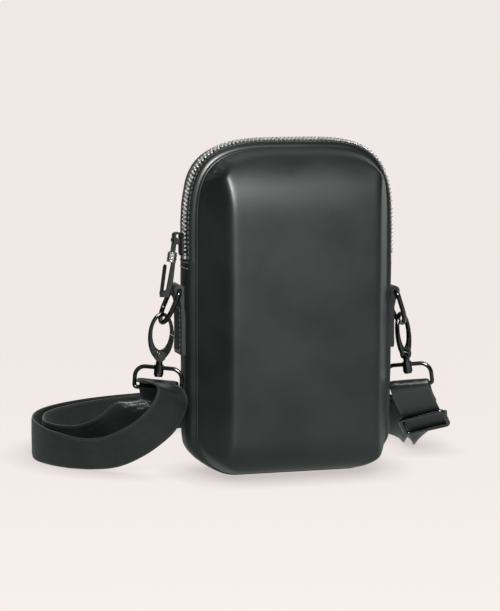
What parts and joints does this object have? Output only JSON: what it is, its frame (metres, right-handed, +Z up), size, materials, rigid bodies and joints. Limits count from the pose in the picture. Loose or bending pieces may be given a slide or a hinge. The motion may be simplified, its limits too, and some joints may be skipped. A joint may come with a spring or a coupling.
{
  "type": "sling bag",
  "caption": "Small upright leather sling bag with a padded pillow front, a zip round the top, side rings and a webbing strap on swivel snap hooks.",
  "frame": {"origin": "centre of the base on the floor, at half the depth of the gusset", "axes": "+Z up, front faces -Y, +X to the right seen from the front"},
  "size_m": [0.263, 0.2098, 0.2074],
  "materials": {
    "leather": "smooth semi-matt black",
    "foam": "closed-cell foam sheet",
    "lining": "woven lining",
    "board": "stiff plastic sheet",
    "zip_tape": "woven tape",
    "zip_metal": "dark nickel",
    "webbing": "twill-woven with a slight sheen",
    "hardware": "gunmetal plating",
    "polished_metal": "bright plating"
  },
  "bodies": {
    "bag": {"front_panel": "leather", "front_foam": "foam", "lining_front": "lining", "back_panel": "leather", "back_foam": "foam", "lining_back": "lining", "front_welt": "leather", "back_welt": "leather", "lower_gusset": "leather", "front_zip_strip": "leather", "rear_zip_strip": "leather", "lining_sides": "lining", "base_board": "board", "inner_pocket": "lining", "front_zip_tape": "zip_tape", "rear_zip_tape": "zip_tape", "front_zip_teeth": "zip_metal", "rear_zip_teeth": "zip_metal", "zip_stops": "zip_metal", "left_anchor_tab": "leather", "right_anchor_tab": "leather"},
    "slider": {"zip_slider": "hardware"},
    "pull": {"pull_frame": "hardware", "pull_collar": "polished_metal", "pull_rivet": "hardware"},
    "pull_latch": {"pull_gate": "hardware"},
    "left_link": {"left_ring": "hardware"},
    "right_link": {"right_ring": "hardware"},
    "strap": {"webbing_inner_run": "webbing", "webbing_outer_run": "webbing", "left_d_ring": "hardware", "right_d_ring": "hardware"},
    "left_hook": {"left_hook_body": "hardware", "left_hook_rivet": "hardware"},
    "left_latch": {"left_hook_gate": "hardware"},
    "right_hook": {"right_hook_body": "hardware", "right_hook_rivet": "hardware"},
    "right_latch": {"right_hook_gate": "hardware"},
    "adjuster": {"tri_glide": "hardware"}
  },
  "joints": [
    {"name": "zip_travel", "type": "slide", "parent": "bag", "child": "slider", "axis": [0, 0, 1], "range_m": [0, 0.012]},
    {"name": "pull_swing", "type": "hinge", "parent": "slider", "child": "pull", "pos_m": [-0.0725, -0.007, 0.1458], "axis": [0, 1, 0], "range_deg": [0, 150]},
    {"name": "pull_latch_open", "type": "hinge", "parent": "pull", "child": "pull_latch", "pos_m": [-0.08023, -0.007, 0.11361], "axis": [0, 1, 0], "range_deg": [0, 8]},
    {"name": "left_link_swing", "type": "hinge", "parent": "bag", "child": "left_link", "pos_m": [-0.07, 0, 0.115], "axis": [0, 1, 0], "range_deg": [-1, 4]},
    {"name": "strap_sway", "type": "hinge", "parent": "left_link", "child": "strap", "pos_m": [-0.07895, 0, 0.0949], "axis": [0, 1, 0], "range_deg": [-4.1, 1.1]},
    {"name": "right_link_swing", "type": "hinge", "parent": "bag", "child": "right_link", "pos_m": [0.07, 0, 0.11], "axis": [0, 1, 0], "range_deg": [-1.1, 4.1]},
    {"name": "left_hook_swivel", "type": "hinge", "parent": "strap", "child": "left_hook", "pos_m": [-0.08041, 0, 0.07395], "axis": [0.0698, 0, 0.9976], "range_deg": [-25, 25]},
    {"name": "left_latch_open", "type": "hinge", "parent": "left_hook", "child": "left_latch", "pos_m": [-0.08041, 0, 0.07395], "axis": [0, -1, 0], "range_deg": [0, 22]},
    {"name": "right_hook_swivel", "type": "hinge", "parent": "strap", "child": "right_hook", "pos_m": [0.07998, 0, 0.06927], "axis": [-0.1392, 0, 0.9903], "range_deg": [-30, 5]},
    {"name": "right_latch_open", "type": "hinge", "parent": "right_hook", "child": "right_latch", "pos_m": [0.07998, 0, 0.06927], "axis": [0.6365, -0.766, 0.0895], "range_deg": [0, 22]},
    {"name": "adjuster_slide", "type": "slide", "parent": "strap", "child": "adjuster", "axis": [0.4972, 0.512, -0.7005], "range_m": [-0.003, 0.003]}
  ],
  "couplings": [
    {"joint": "strap_sway", "follows": "left_link_swing", "ratio": -1},
    {"joint": "right_link_swing", "follows": "left_link_swing", "ratio": 0.9606}
  ]
}
